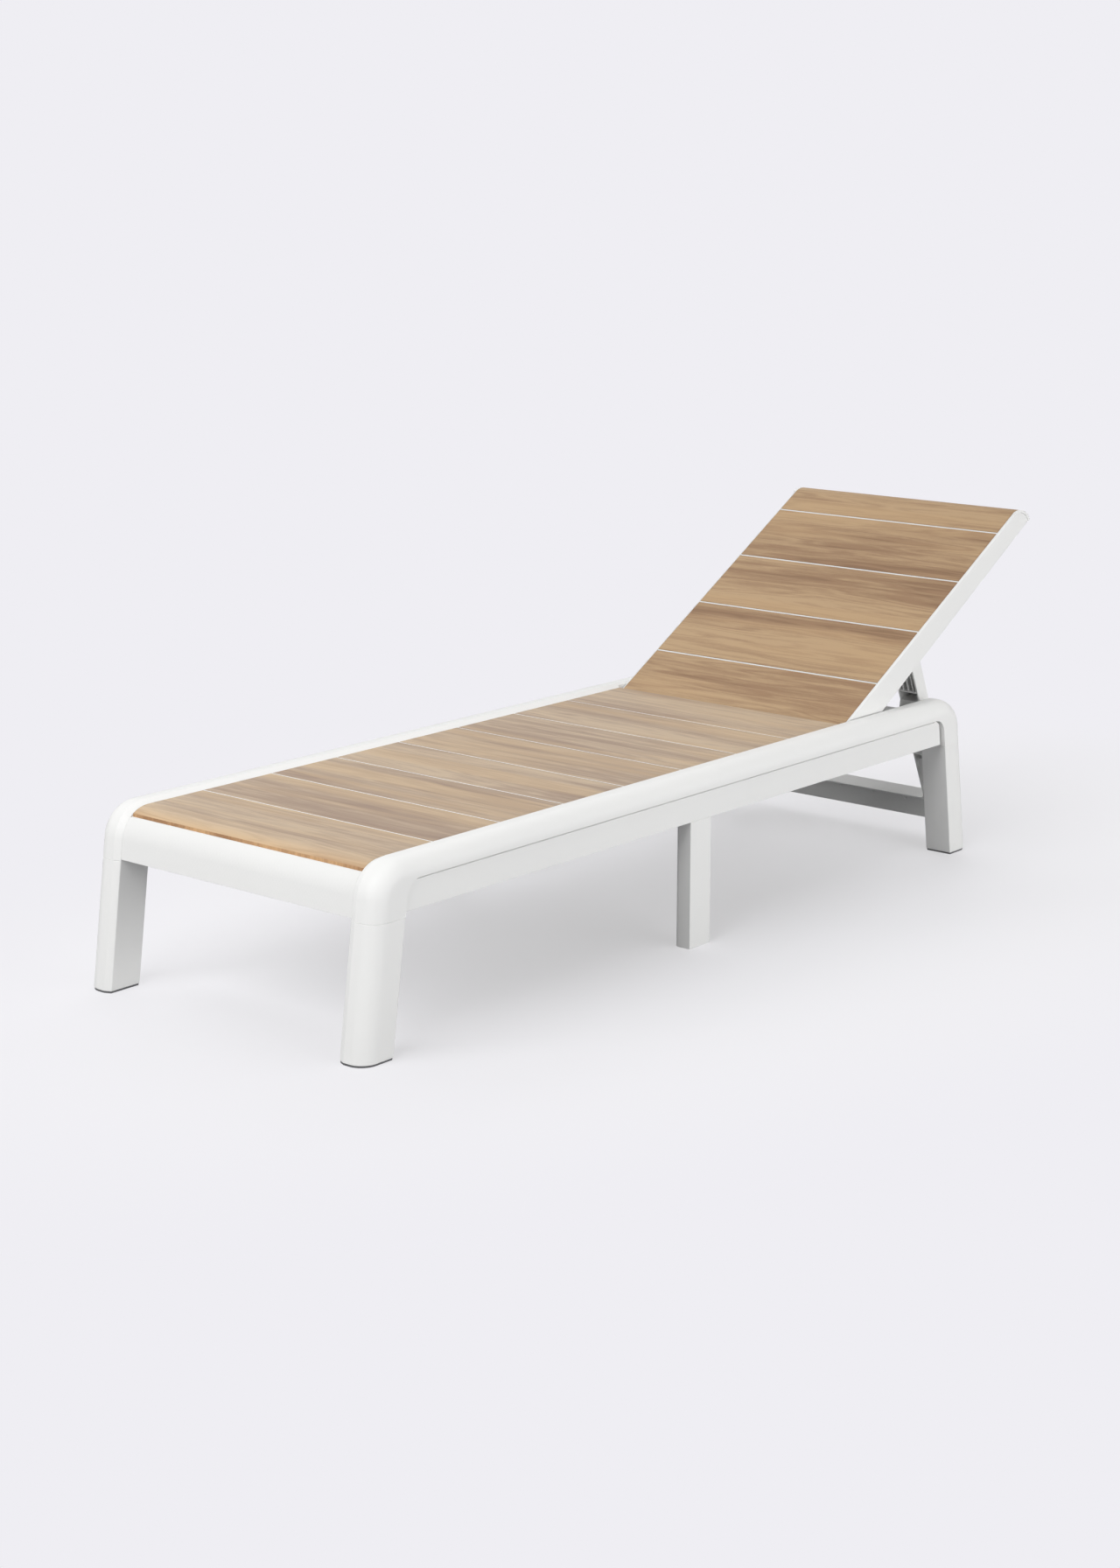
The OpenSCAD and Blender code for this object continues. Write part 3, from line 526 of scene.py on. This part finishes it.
def soft_copy(node, radius):
    bm = bmesh.new()
    bm.from_mesh(frame["nodes"][node].data)
    merge = SEAM_MERGE if node.startswith("side_frame") else MERGE
    bmesh.ops.remove_doubles(bm, verts=bm.verts, dist=merge)
    bmesh.ops.dissolve_limit(bm, angle_limit=math.radians(FLAT_DEGREES),
                             verts=bm.verts, edges=bm.edges)
    if node.startswith("apron"):
        shadow_line(bm)
    if node == "foot_beam":
        sink_lip(bm)
    round_edges(bm, radius)
    bmesh.ops.recalc_face_normals(bm, faces=bm.faces)
    add_piece("soft_" + node, bm, node, SHADED_BEAM_RESIN if node == "foot_beam" else RESIN)


softened = [(node, millimetres / 1000) for name, millimetres in ROUNDING_MM.items()
            for node in (name, name + "_left", name + "_right") if node in slots]
for node, radius in softened:
    soft_copy(node, radius)
print("softened", len(softened), "mouldings")

# %% [markdown]
# ## The planks
# A plank that follows the rounded nose or the rolled head end is bent from a flat board. The
# shape is made the same way: a flat sheet, its end edge spun round the bend, and the sheet
# thickened to 8 mm. The long edges are eased a little, as sanding does. The nose plank ends in a
# sawn chamfer that shows a darker wood.

# %% Sizes of the planks
PITCH, GAP, THICK = 0.160, 0.0027, 0.008
EASE_DECK, EASE_BACK = 0.0008, 0.0012
HALF_WIDTH = 0.2646
PLANK_ROUNDING, PLANK_SHARP_DEGREES = 0.00035, 40.0
NOSE_CHAMFER, SQUARE_DEGREES = 0.0046, 60.0
RECLINE = math.radians(30.0)
FIRST_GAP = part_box("deck_plank_2")[0][1] - GAP / 2
LAST_GAP = FIRST_GAP + 7 * PITCH
BACK_START = LAST_GAP + GAP / 2
HINGE_RUN, HINGE_HEIGHT = 0.030, 0.265
HINGE = Vector((0, LAST_GAP + HINGE_RUN, HINGE_HEIGHT))
HEAD_START = BACK_START + 4 * PITCH
ROLL_RADIUS, ROLL_RUN = 0.0435, 0.0625
ROLL = Vector((0, HEAD_START + ROLL_RUN, DECK_TOP - ROLL_RADIUS))
NOSE_BEND, HEAD_BEND = 38.0, -52.0  # in degrees
print("first gap at", round(FIRST_GAP, 4), "hinge at", round(HINGE.y, 4))

# %% Bending a board
def flat_sheet(start, end):
    """One face at the height of the plank surface, from start to end along Y."""
    bm = bmesh.new()
    place = Matrix.Translation((0, (start + end) / 2, DECK_TOP))
    size = Matrix.Diagonal((HALF_WIDTH, (end - start) / 2, 1.0, 1.0))
    bmesh.ops.create_grid(bm, x_segments=1, y_segments=1, size=1.0, matrix=place @ size)
    return bm


def bend_end(bm, centre, degrees, steps):
    """Spins the edge above a centre line round it, which bends the sheet over it."""
    edge = min(bm.edges, key=lambda e: sum(abs(v.co.y - centre.y) for v in e.verts))
    bmesh.ops.spin(bm, geom=[edge, *edge.verts], cent=centre, axis=(1, 0, 0),
                   angle=math.radians(degrees), steps=steps)


def thicken(bm):
    """Gives the sheet its thickness downwards, whichever way its faces point."""
    bmesh.ops.recalc_face_normals(bm, faces=bm.faces)
    upward = sum(face.normal.z * face.calc_area() for face in bm.faces)
    bmesh.ops.solidify(bm, geom=bm.faces[:], thickness=math.copysign(THICK, upward))
    bmesh.ops.recalc_face_normals(bm, faces=bm.faces)


def chamfer_nose(bm):
    """Cuts the outer edge at the end of the bend back and marks the cut faces."""
    lowest = min(v.co.z for v in bm.verts)
    across = [edge for edge in bm.edges
              if abs(edge.verts[0].co.x - edge.verts[1].co.x) > HALF_WIDTH
              and min(v.co.z for v in edge.verts) < lowest + THICK
              and edge.calc_face_angle(0) > math.radians(SQUARE_DEGREES)]
    outer = max(across, key=lambda edge: sum((v.co - NOSE).yz.length for v in edge.verts))
    result = bmesh.ops.bevel(bm, geom=[outer], offset=NOSE_CHAMFER, segments=1, profile=0.5,
                             affect="EDGES", material=1)
    print("chamfer faces:", len(result["faces"]))


print("boards will be", THICK * 1000, "mm thick")

# %% [markdown]
# ## Boards in their places
# The backrest's boards are made flat, in line with the deck, and then turned up about the hinge,
# as the real backrest is. The print tells how far each board's box is from its solid's, because
# the boards are a little narrower than their solids. The last deck plank lies partly under the
# backrest and keeps its exact solid.

# %% Boards in their places
def print_fit(piece, node):
    """Prints the largest distance between the box of a board and that of its solid."""
    corners = [piece.matrix_world @ Vector(corner) for corner in piece.bound_box]
    low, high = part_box(node)
    off = max(max(abs(min(c[i] for c in corners) - low[i]),
                  abs(max(c[i] for c in corners) - high[i])) for i in range(3))
    print(piece.name, "off its solid by at most", round(off * 1000, 2), "mm")


def make_plank(node, bm):
    round_edges(bm, PLANK_ROUNDING, PLANK_SHARP_DEGREES)
    if node.startswith("back"):
        raise_up = Matrix.Rotation(RECLINE, 4, "X")
        about_hinge = Matrix.Translation(HINGE) @ raise_up @ Matrix.Translation(-HINGE)
        bmesh.ops.transform(bm, matrix=about_hinge, verts=bm.verts)
    finishes = (WOODS[node], CUT) if node == "deck_plank_1" else (WOODS[node],)
    print_fit(add_piece("board_" + node, bm, node, *finishes), node)


def deck_end(number):
    """Y of the edge of a deck board that looks to the head end."""
    return FIRST_GAP + (number - 1) * PITCH - GAP / 2 - EASE_DECK


nose = flat_sheet(NOSE.y, deck_end(1))
bend_end(nose, NOSE, NOSE_BEND, steps=10)
thicken(nose)
chamfer_nose(nose)
make_plank("deck_plank_1", nose)
for number in range(2, 8):
    board = flat_sheet(deck_end(number - 1) + GAP + 2 * EASE_DECK, deck_end(number))
    thicken(board)
    make_plank(f"deck_plank_{number}", board)
for number in range(1, 5):
    begin = BACK_START + (number - 1) * PITCH
    board = flat_sheet(begin + EASE_BACK, begin + PITCH - GAP - EASE_BACK)
    thicken(board)
    make_plank(f"back_plank_{number}", board)
head = flat_sheet(HEAD_START + EASE_BACK, ROLL.y)
bend_end(head, ROLL, HEAD_BEND, steps=12)
thicken(head)
make_plank("back_plank_5", head)

# %% [markdown]
# ## Floor
# A seamless pale sweep shows the object best. A real floor would turn grey far away and show a
# horizon. Here the camera sees the floor as a mix of its own shading and a plain glow: half and
# half close to the legs, where the soft shadow is, and only the glow a few steps away, where it
# has exactly the backdrop colour. The light that bounces off the floor meets a darker tone, so
# that the underside of the lounger stays in shade.

# %% Floor
BACKDROP = rgb(239, 238, 243)
NEAR_GLOW = rgb(243, 242, 242)
FLOOR_SEEN, FLOOR_BOUNCE = rgb(238, 238, 244), rgb(178, 178, 180)
GLOW_SHARE = 0.50  # of the floor close to the legs
OVAL, OVAL_SHIFT = (0.72, 0.42, 1.0), (-0.06, -0.05, 0.0)
FADE_FROM, FADE_TO = 0.25, 0.85
FLOOR_SIZE = 40.0


def sweep_finish():
    finish = Finish("floor_sweep", {"Specular IOR Level": 0.0, "Roughness": 1.0})
    seen = finish.add("LightPath", {}, {}, out="Is Camera Ray")
    finish.surface({"Base Color": finish.blend(seen, FLOOR_BOUNCE, FLOOR_SEEN)})
    away = finish.add("VectorMath", {"operation": "LENGTH"},
                      {"Vector": finish.place(OVAL, OVAL_SHIFT)}, out="Value")
    fade = finish.add("MapRange", {"interpolation_type": "SMOOTHSTEP"}, {
        "Value": away, "From Min": FADE_FROM, "From Max": FADE_TO, "To Min": 0.0, "To Max": 1.0})
    glow = finish.add("Emission", {}, {
        "Color": finish.blend(fade, NEAR_GLOW, BACKDROP), "Strength": 1.0})
    share = seen * (GLOW_SHARE + (1.0 - GLOW_SHARE) * fade)
    shading = Wire(finish.tree, finish.shader.outputs[0])
    mixed = finish.add("MixShader", {}, {0: share, 1: shading, 2: glow})
    finish.feed(finish.output, {"Surface": mixed})
    return finish.material


bm = bmesh.new()
bmesh.ops.create_grid(bm, x_segments=1, y_segments=1, size=FLOOR_SIZE)
mesh = bpy.data.meshes.new("floor")
bm.to_mesh(mesh)
bm.free()
mesh.materials.append(sweep_finish())
floor = bpy.data.objects.new("floor", mesh)
bpy.context.scene.collection.objects.link(floor)
print("floor laid")

# %% [markdown]
# ## Backdrop
# Behind the floor there is only the world. It could light the scene too, but then the lamps
# would lose their say over the form. So the camera sees it in the full backdrop colour, gloss
# mirrors a part of it, and for every other ray it is black.

# %% Backdrop
MIRRORED = 0.4
world = bpy.data.worlds.new("studio")
bpy.context.scene.world = world
world.use_nodes = True
tree = world.node_tree
tree.nodes.clear()
path = tree.nodes.new("ShaderNodeLightPath")
camera_ray = Wire(tree, path.outputs["Is Camera Ray"])
gloss_ray = Wire(tree, path.outputs["Is Glossy Ray"])
backdrop = tree.nodes.new("ShaderNodeBackground")
backdrop.inputs["Color"].default_value = BACKDROP
power = camera_ray + MIRRORED * gloss_ray
tree.links.new(power.socket, backdrop.inputs["Strength"])
output = tree.nodes.new("ShaderNodeOutputWorld")
tree.links.new(backdrop.outputs[0], output.inputs["Surface"])
print("backdrop hung")

# %% [markdown]
# ## Light
# Daylight studio light for a white product: one very large softbox in front and above gives the
# form, two long low strips, one on the right and one behind on the right, lift the side that
# faces them, and weaker boxes from the left and from above open the shade. Two weak lamps behind
# the lounger keep the faces that look away from going black. They are hidden from gloss, because
# the deck would mirror them and wash out its wood.

# %% Light
AIM = Vector((0, 0, 0.25))


def softbox(name, azimuth, elevation, distance, size, power, shine=True):
    """A rectangular lamp that looks at the lounger from a compass direction, in degrees from +X."""
    lamp = bpy.data.lights.new(name, "AREA")
    lamp.shape = "RECTANGLE"
    lamp.size, lamp.size_y = size
    lamp.energy = power
    obj = bpy.data.objects.new(name, lamp)
    turn, rise = math.radians(azimuth), math.radians(elevation)
    away = Vector((math.cos(rise) * math.cos(turn), math.cos(rise) * math.sin(turn),
                   math.sin(rise)))
    obj.location = AIM + distance * away
    obj.rotation_euler = (-away).to_track_quat("-Z", "Y").to_euler()
    obj.visible_glossy = shine
    bpy.context.scene.collection.objects.link(obj)


softbox("front", azimuth=270, elevation=33, distance=5.0, size=(4.5, 3.5), power=196)
softbox("right_strip", azimuth=0, elevation=10, distance=4.5, size=(4.0, 1.2), power=94)
softbox("rear_strip", azimuth=40, elevation=10, distance=4.5, size=(3.0, 1.2), power=40)
softbox("rear_left", azimuth=135, elevation=35, distance=4.5, size=(3.5, 2.5), power=80,
        shine=False)
softbox("rear", azimuth=105, elevation=20, distance=4.5, size=(3.0, 1.2), power=25, shine=False)
softbox("left", azimuth=182, elevation=40, distance=5.0, size=(4.0, 3.0), power=43)
softbox("overhead", azimuth=0, elevation=90, distance=4.5, size=(4.0, 4.0), power=52)
print("lights set")

# %% [markdown]
# ## The view
# The plain Standard view shows colours as they are written.

# %% The view
bpy.context.scene.view_settings.view_transform = "Standard"
